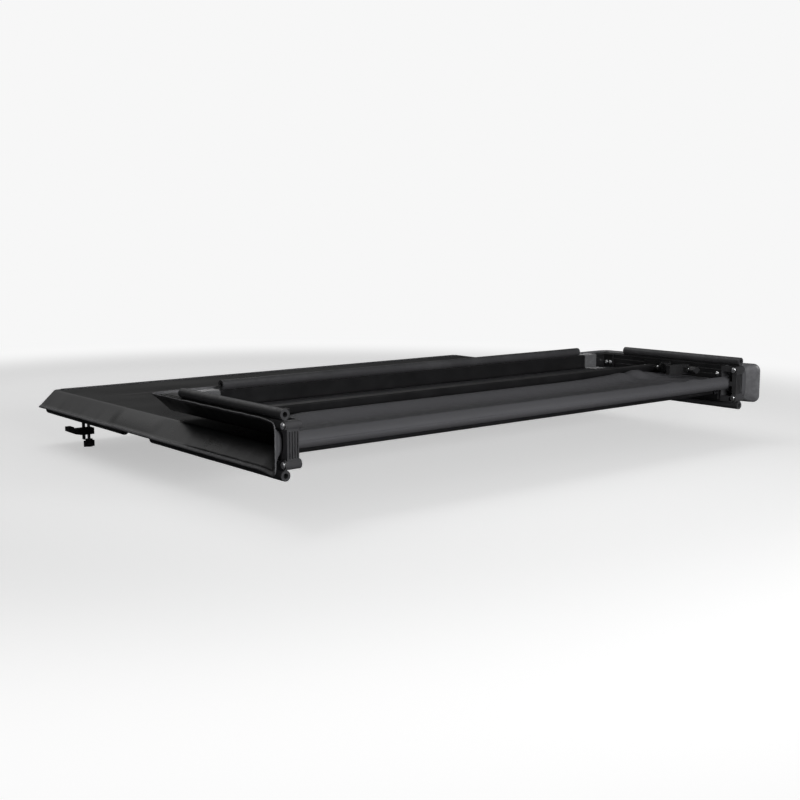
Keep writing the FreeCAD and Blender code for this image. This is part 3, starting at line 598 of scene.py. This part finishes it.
def turn_path(height, ahead, drop):
    """Path of one column at the fold, as (ahead, height) from the pins: level, round a corner, upright."""
    radius = min(REAR_CORNER, LINK_MIDDLE - height)
    angles = np.linspace(0, math.pi / 2, 40)
    corner_a = ahead + radius * (1 - np.sin(angles))
    corner_h = height + radius * (1 - np.cos(angles))
    level_a = np.linspace(PANEL_CUT, ahead + radius, 40)
    upright_h = np.linspace(height + radius, LINK_MIDDLE, 40)
    path = np.concatenate([
        np.stack([level_a, np.full(40, height)], axis=1)[:-1],
        np.stack([corner_a, corner_h], axis=1),
        np.stack([np.full(40, ahead), upright_h], axis=1)[1:],
    ])
    steps = np.hypot(*np.diff(path, axis=0).T)
    along = np.concatenate([[0], np.cumsum(steps)])
    stations = np.linspace(0, along[-1], TURN_ROWS)
    rows = np.stack([np.interp(stations, along, path[:, k]) for k in (0, 1)], axis=1)
    sink = REAR_DIP * (1 - drop) ** 3
    rows[:, 1] -= sink * np.sin(math.pi * smooth(stations / along[-1])) ** 2
    return rows


def rear_fold(name, pin, up, slack, node=None):
    """Half of the sheet round the rear fold. Up is the Z direction from the pin to the links' middle.
    The skirts run on past the links in a loose loop, as the fold takes up less of them than it frees."""
    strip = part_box("rear_link_vinyl")[1].y - PIN_C.y
    turned = smooth(np.linspace(0, 1, TURN_ROWS) * 1.3)
    outer = []
    inner = []
    for k, drop in enumerate(DROP):
        ahead = strip - (strip + HEM_BEHIND) * drop ** 2.5
        path = turn_path(HEIGHT[k], ahead, drop)
        path[:, 0] += 1.4 * MM * math.sin(drop * 19) * drop * turned
        tangent = np.gradient(path, axis=0)
        tangent /= np.hypot(*tangent.T)[:, None]
        out = np.stack([tangent[:, 1], -tangent[:, 0]], axis=1) * OUT_H[k]
        spread = np.sign(ACROSS[k]) * HEM_SPREAD * drop ** 2 * turned
        for grid, offset in ((outer, SWELL[k]), (inner, -SHEET - SWELL_INSIDE[k])):
            x = ACROSS[k] + OUT_X[k] * offset + spread
            y = pin.y + path[:, 0] + out[:, 0] * offset
            z = pin.z + up * (path[:, 1] + out[:, 1] * offset)
            grid.append(np.stack([x, y, z], axis=1))
    outer = np.array(outer).transpose(1, 0, 2)
    inner = np.array(inner).transpose(1, 0, 2)
    for grid in (outer, inner):
        for row in grid:
            row[:, 2] += slack(ACROSS, row[:, 1])
    obj = shell(name, outer, inner, IS_HEM)
    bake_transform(obj)
    if node:
        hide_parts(node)


rear_fold("rear_fold_fore", PIN_C, 1, no_slack, "rear_link_vinyl")
rear_fold("rear_fold_aft", PIN_D, -1, rear_slack)


# ---- sheet ends: the lip over the lead rail and the skirt round the tail ----

LIP_BEND = 4 * MM
LIP_GAUGE = 1.0 * MM
LIP_LAP = 22 * MM        # how far the lip lies on the top sheet
LIP_LIFT = 0.4 * MM      # and how far it stands above that sheet


def front_lip():
    """Edge of the sheet turned down over the lead rail and fixed to its front."""
    top = PIN_A.z + TOP + LIP_LIFT
    corner = [(FRONT_END - LIP_BEND * (1 - math.sin(a)), top - LIP_BEND * (1 - math.cos(a)))
              for a in np.linspace(0, math.pi / 2, 8)]
    path = np.array([(FRONT_END - LIP_LAP, top), *corner, (FRONT_END, PIN_A.z - 4 * MM)])
    slope = np.gradient(path, axis=0)
    slope /= np.hypot(*slope.T)[:, None]
    under = path + np.stack([-slope[:, 1], slope[:, 0]], axis=1) * LIP_GAUGE
    outer = []
    inner = []
    for x in np.linspace(2 * MM - RAIL_INNER, RAIL_INNER - 2 * MM, 90):
        wave = 0.4 * MM * math.sin(x * 23)
        for grid, face in ((outer, path), (inner, under)):
            grid.append(np.stack([np.full(len(face), x), face[:, 0] + wave, face[:, 1]], axis=1))
    plain = np.zeros(len(path), bool)
    obj = shell("front_lip", np.array(outer), np.array(inner), (plain, plain))
    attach(obj, "front_panel")


def tail_skirt():
    """Skirt hanging from the tail edge, swept round both corners into the side skirts."""
    columns = np.array([c for c in half_section() if c[2] > 0 or c[3] > 0])
    root = columns[0, 0] - BEND * math.sin(columns[0, 2])
    out = (columns[:, 0] - root) / (HALF_WIDTH - root)
    drop = columns[:, 1]
    wide = HALF_WIDTH - root
    long = FLAP_END - TAIL_ROOT
    turns = np.radians(np.linspace(0, 90, 14))
    stations = [(-root, math.pi - a) for a in turns]
    stations += [(x, math.pi / 2) for x in np.linspace(-root, root, 90)[1:-1]]
    stations += [(root, a) for a in turns[::-1]]
    bead = np.where((columns[:, 3] > HEM_OUTSIDE) & (columns[:, 3] < 0.99), HEM_SWELL, 0.0)
    turned_in = np.where((columns[:, 3] > HEM_INSIDE) & (columns[:, 3] < 0.99), HEM_SWELL, 0.0)
    outer = []
    inner = []
    for x, angle in stations:
        way = np.array([wide * math.cos(angle), long * math.sin(angle)])
        run = np.hypot(*way)
        lean = math.atan2(TOP - HEM, run)
        tilt = columns[:, 2] / columns[-1, 2] * lean
        wave = 0.8 * MM * math.sin(x * 27) * math.sin(angle) ** 4 * out
        for grid, offset in ((outer, bead), (inner, -SHEET - turned_in)):
            away = out + (offset * np.sin(tilt) + wave) / run
            height = drop + offset * np.cos(tilt)
            grid.append(np.stack([x + way[0] * away, TAIL_ROOT + way[1] * away, PIN_D.z - height], axis=1))
    is_hem = (columns[:, 3] > HEM_OUTSIDE, columns[:, 3] > HEM_INSIDE)
    obj = shell("tail_skirt", np.array(outer), np.array(inner), is_hem)
    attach(obj, "rear_panel")


front_lip()
tail_skirt()


# ---- stitching along the hems ----

STITCH_PITCH = 4.2 * MM
STITCH_LENGTH = 3.0 * MM
STITCH_WIDTH = 0.8 * MM
STITCH_RISE = 0.45 * MM
STITCH_LINE = 0.87


def stitches(name, outer, body):
    """Lock stitches along both skirts of a panel, each a low tapered ridge."""
    lines = [int(np.argmin(np.abs(SKIRT - STITCH_LINE) + (ACROSS * side < 0))) for side in (-1, 1)]
    points = []
    faces = []
    for column in lines:
        line = outer[:, column]
        across = outer[:, column + 1] - outer[:, column - 1]
        across /= np.linalg.norm(across, axis=1)[:, None]
        forward = np.gradient(line, axis=0)
        forward /= np.linalg.norm(forward, axis=1)[:, None]
        out = np.cross(across, forward)
        out *= np.sign(out[:, 0] * line[:, 0])[:, None]
        count = int(np.ptp(line[:, 1]) / STITCH_PITCH)
        for share in (np.arange(count) + 0.5) / count:
            at = share * (len(line) - 1)
            k = int(at)
            centre = between(line[k], line[min(k + 1, len(line) - 1)], at - k)
            half = forward[k] * STITCH_LENGTH / 2
            wide = across[k] * STITCH_WIDTH / 2
            rise = out[k] * STITCH_RISE
            first = len(points)
            points += [centre - half, centre - half * 0.5 + wide, centre + half * 0.5 + wide, centre + half]
            points += [centre + half * 0.5 - wide, centre - half * 0.5 - wide]
            points += [centre - half * 0.55 + rise, centre + half * 0.55 + rise]
            for ring in ((0, 1, 6), (1, 2, 7, 6), (2, 3, 7), (3, 4, 7), (4, 5, 6, 7), (5, 0, 6)):
                faces.append([first + n for n in ring])
    obj = make_object(name, points, faces, ("thread",))
    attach(obj, body)


stitches("front_stitching", front_outer, "front_panel")
stitches("middle_stitching", middle_outer, "middle_panel")
stitches("rear_stitching", rear_outer, "rear_panel")


# ---- bulb seals ----

RING = 40                # points round a bulb
NECK = 2.3 * MM          # half the neck's width
NECK_RISE = 2.6 * MM
SEAL_SEAT = 10.7 * MM    # bulb's centre to the face it rests on
SEAL_STEP = 12 * MM


def seal_outline(up):
    """Outline of bulb and neck round the bulb's centre, and the bore inside it, point for point."""
    outline = []
    bore = []
    for k in range(RING):
        angle = 2 * math.pi * (k + 0.5) / RING
        across = BULB_RADIUS * math.sin(angle)
        height = BULB_RADIUS * math.cos(angle)
        if abs(across) < NECK * 1.4 and height > 0:
            across = math.copysign(NECK, across)
            height = BULB_RADIUS + NECK_RISE
        outline.append((across, max(height, -SEAL_SEAT) * up))
        bore.append((BULB_BORE * math.sin(angle), BULB_BORE * math.cos(angle) * up))
    return outline, bore


def bulb_seal(name, node, body, up, along_x):
    """Extruded seal along one CAD seal node, hollow and open at both ends, not quite straight."""
    low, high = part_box(node)
    centre_z = low.z + SEAL_SEAT if up > 0 else high.z - SEAL_SEAT
    axis = 0 if along_x else 1
    middle = (low[1 - axis] + high[1 - axis]) / 2
    outline, bore = seal_outline(up)
    count = max(int((high[axis] - low[axis]) / SEAL_STEP), 2)
    stations = np.linspace(low[axis], high[axis], count)
    points = []
    for place in stations:
        sway = 0.35 * MM * math.sin(place * 19 + middle * 7) + 0.2 * MM * math.sin(place * 47)
        swell = 1 + 0.012 * math.sin(place * 31 + 2)
        for ring in (outline, bore):
            for across, height in ring:
                spot = [0.0, 0.0, centre_z + height]
                spot[axis] = place
                spot[1 - axis] = middle + across * swell + sway
                points.append(spot)
    faces = []
    for i in range(len(stations) - 1):
        for inside in (0, RING):
            for k in range(RING):
                a = i * 2 * RING + inside + k
                b = i * 2 * RING + inside + (k + 1) % RING
                faces.append((a, b, b + 2 * RING, a + 2 * RING))
    last = (len(stations) - 1) * 2 * RING
    for base in (0, last):
        for k in range(RING):
            after = (k + 1) % RING
            faces.append((base + k, base + after, base + RING + after, base + RING + k))
    obj = make_object(name, points, faces, ("seal",))
    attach(obj, body)
    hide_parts(node)


bulb_seal("bulkhead_bulb", "bulkhead_seal", "front_panel", 1, True)
bulb_seal("tail_bulb", "tail_seal", "rear_panel", -1, True)
for side in ("right", "left"):
    bulb_seal(f"front_bulb_{side}", f"front_seal_{side}", "front_panel", 1, False)
    bulb_seal(f"middle_bulb_{side}", f"middle_seal_{side}", "middle_panel", 1, False)
    bulb_seal(f"rear_bulb_{side}", f"rear_seal_{side}", "rear_panel", -1, False)


# ---- webbing ----


def webbing(name, path, x_low, x_high, body):
    """Flat strap along a (y, z) path, smoothed at its corners, with raised edges."""
    path = np.array(path)
    steps = np.hypot(*np.diff(path, axis=0).T)
    along = np.concatenate([[0], np.cumsum(steps)])
    stations = np.linspace(0, along[-1], 60)
    line = np.stack([np.interp(stations, along, path[:, k]) for k in (0, 1)], axis=1)
    kernel = np.ones(5) / 5
    for k in (0, 1):
        line[2:-2, k] = np.convolve(line[:, k], kernel, mode="valid")
    tangent = np.gradient(line, axis=0)
    tangent /= np.hypot(*tangent.T)[:, None]
    side = np.stack([-tangent[:, 1], tangent[:, 0]], axis=1)
    shares = np.array([0, 0.015, 0.05, 0.08, 0.3, 0.5, 0.7, 0.92, 0.95, 0.985, 1])
    plump = np.array([0.25, 0.55, 0.6, 0.42, 0.42, 0.42, 0.42, 0.42, 0.6, 0.55, 0.25]) * WEBBING
    points = []
    for sign in (1, -1):
        for spot, out in zip(line, side):
            for share, half in zip(shares, plump):
                y, z = spot + out * half * sign
                points.append((between(x_low, x_high, share), y, z))
    columns = len(shares)
    rows = len(line)
    under = rows * columns
    faces = []
    for i in range(rows - 1):
        for j in range(columns - 1):
            a = i * columns + j
            quad = (a, a + 1, a + columns + 1, a + columns)
            faces += [quad, tuple(under + k for k in reversed(quad))]
        for j in (0, columns - 1):
            a = i * columns + j
            faces.append((a, a + columns, under + a + columns, under + a))
    for i in (0, rows - 1):
        for j in range(columns - 1):
            a = i * columns + j
            faces.append((a, a + 1, under + a + 1, under + a))
    obj = make_object(name, points, faces, ("webbing",))
    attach(obj, body)
    return obj


TAIL_STRAP_WIDTH = 50 * MM
TAIL_STRAP_GAP = 0.3 * MM      # tail rail's inboard face to the strap
TAIL_STRAP_REST = 0.5 * MM     # tail rail's lowest point to the strap under it
STOW_STRAP_WIDTH = 28 * MM
STOW_STRAP_AHEAD = 2.6 * MM    # lead rail's front face to the middle of the strap


def tail_strap_path():
    """Over the tail rail, down its inboard face and back under it."""
    low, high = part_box("tail_straps")
    rail_low, rail_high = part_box("tail_rail")
    over = high.z - WEBBING / 2
    behind = rail_high.y - TAIL_RAIL_WIDE - TAIL_STRAP_GAP - WEBBING / 2
    under = rail_low.z + TAIL_STRAP_REST + WEBBING / 2
    return [(high.y, over), (behind, over), (behind, under), (low.y, under)]


def stow_strap_path():
    """Down the front of the lead rail, with both ends turned back."""
    low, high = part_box("stow_straps")
    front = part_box("lead_rail")[1].y + STOW_STRAP_AHEAD
    foot = low.z + WEBBING / 2
    head = high.z - WEBBING / 2
    return [(low.y, foot), (front, foot), (front, head), (high.y, head)]


for side, sign in (("right", 1), ("left", -1)):
    for label, path, width, body in (
        ("tail_strap", tail_strap_path(), TAIL_STRAP_WIDTH, "rear_panel"),
        ("stow_strap", stow_strap_path(), STOW_STRAP_WIDTH, "front_panel"),
    ):
        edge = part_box(f"{label}s")[1].x
        ends = sorted((sign * edge, sign * (edge - width)))
        strap = webbing(f"{label}_{side}", path, *ends, body)
        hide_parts(f"{label}s")


# ---- studio ----


BACKDROP = 0.93          # brightness of the pale surroundings as the camera sees them
FLOOR_HALF = 12.0
NEAR_FLOOR = (1.3, 2.8)  # distances from the middle where the floor starts and ends fading into the backdrop
SKY_HEIGHT = (0.26, 0.50, 0.02, 0.8)    # Z of a direction, from dark to bright, and the two brightnesses
SKY_AHEAD = (0.50, 0.82, 0.07, 1.0)     # the same for its Y


def area_light(name, place, aim, size, power, glossy=True, diffuse=True):
    data = bpy.data.lights.new(name, "AREA")
    data.shape = "RECTANGLE"
    data.size = size[0]
    data.size_y = size[1]
    data.energy = power
    lamp = bpy.data.objects.new(name, data)
    lamp.location = place
    lamp.rotation_euler = (Vector(aim) - Vector(place)).to_track_quat("-Z", "Y").to_euler()
    lamp.visible_glossy = glossy
    lamp.visible_diffuse = diffuse
    bpy.context.scene.collection.objects.link(lamp)


def studio_floor(height):
    """Pale floor that throws little light back up, as a truck bed would."""
    mesh = bpy.data.meshes.new("floor")
    corners = [(x * FLOOR_HALF, y * FLOOR_HALF, height) for x, y in ((-1, -1), (1, -1), (1, 1), (-1, 1))]
    mesh.from_pydata(corners, [], [(0, 1, 2, 3)])
    finish = Finish("floor paint", 0.8)
    away = finish.node("ShaderNodeVectorMath", operation="LENGTH")
    finish.feed(away, 0, finish.place)
    far = finish.remap(away.outputs["Value"], *NEAR_FLOOR)
    seen = finish.node("ShaderNodeLightPath").outputs["Is Camera Ray"]
    pale = finish.tint(far, (0.84, 0.84, 0.84), (0, 0, 0))
    finish.color(finish.tint(seen, (0.10, 0.10, 0.105), pale))
    finish.shine(0)
    finish.feed(finish.surface, "Emission Color", (1, 1, 1, 1))
    glow = finish.combine("MULTIPLY", finish.remap(far, 0, 1, 0.5, 1), BACKDROP)
    finish.feed(finish.surface, "Emission Strength", finish.combine("MULTIPLY", glow, seen))
    mesh.materials.append(finish.material)
    plane = bpy.data.objects.new("floor", mesh)
    bpy.context.scene.collection.objects.link(plane)


def studio_world():
    """Bright sky ahead and above. It is dark low down, where a truck's cab and bed would stand."""
    world = bpy.data.worlds.new("studio")
    world.use_nodes = True
    tree = world.node_tree
    background = tree.nodes["Background"]
    split = tree.nodes.new("ShaderNodeSeparateXYZ")
    tree.links.new(tree.nodes.new("ShaderNodeTexCoord").outputs["Generated"], split.inputs["Vector"])

    def ramp(axis, *limits):
        made = tree.nodes.new("ShaderNodeMapRange")
        tree.links.new(split.outputs[axis], made.inputs["Value"])
        for key, number in zip(("From Min", "From Max", "To Min", "To Max"), limits):
            made.inputs[key].default_value = number
        return made.outputs["Result"]

    both = tree.nodes.new("ShaderNodeMath")
    both.operation = "MULTIPLY"
    tree.links.new(ramp("Z", *SKY_HEIGHT), both.inputs[0])
    tree.links.new(ramp("Y", *SKY_AHEAD), both.inputs[1])
    seen = tree.nodes.new("ShaderNodeLightPath")
    choose = tree.nodes.new("ShaderNodeMix")
    tree.links.new(seen.outputs["Is Camera Ray"], choose.inputs["Factor"])
    tree.links.new(both.outputs["Value"], choose.inputs["A"])
    choose.inputs["B"].default_value = BACKDROP
    tree.links.new(choose.outputs["Result"], background.inputs["Strength"])
    background.inputs["Color"].default_value = (1, 1, 1, 1)
    bpy.context.scene.world = world


bpy.context.scene.view_settings.view_transform = "Standard"
low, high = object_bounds()
centre = (low + high) / 2
studio_floor(low.z - 0.5 * MM)
studio_world()
area_light("top", (-0.4, 1.2, 3.0), centre, (3.2, 1.4), 20)
area_light("rear_fill", (-0.4, -4.2, 0.7), centre, (2.4, 0.8), 105, glossy=False)
area_light("sparkle", (-1.2, -3.6, 2.4), centre, (1.2, 1.2), 125, diffuse=False)

# The photographer stands off the left rear corner, a little above the bed rails.
VIEWPOINT = Vector((-1.98, -2.98, 0.474))
LENS = 52
lens = bpy.data.cameras.new("camera")
lens.lens = LENS
camera = bpy.data.objects.new("camera", lens)
camera.location = VIEWPOINT
camera.rotation_euler = (centre - VIEWPOINT).to_track_quat("-Z", "Y").to_euler()
bpy.context.scene.collection.objects.link(camera)
bpy.context.scene.camera = camera
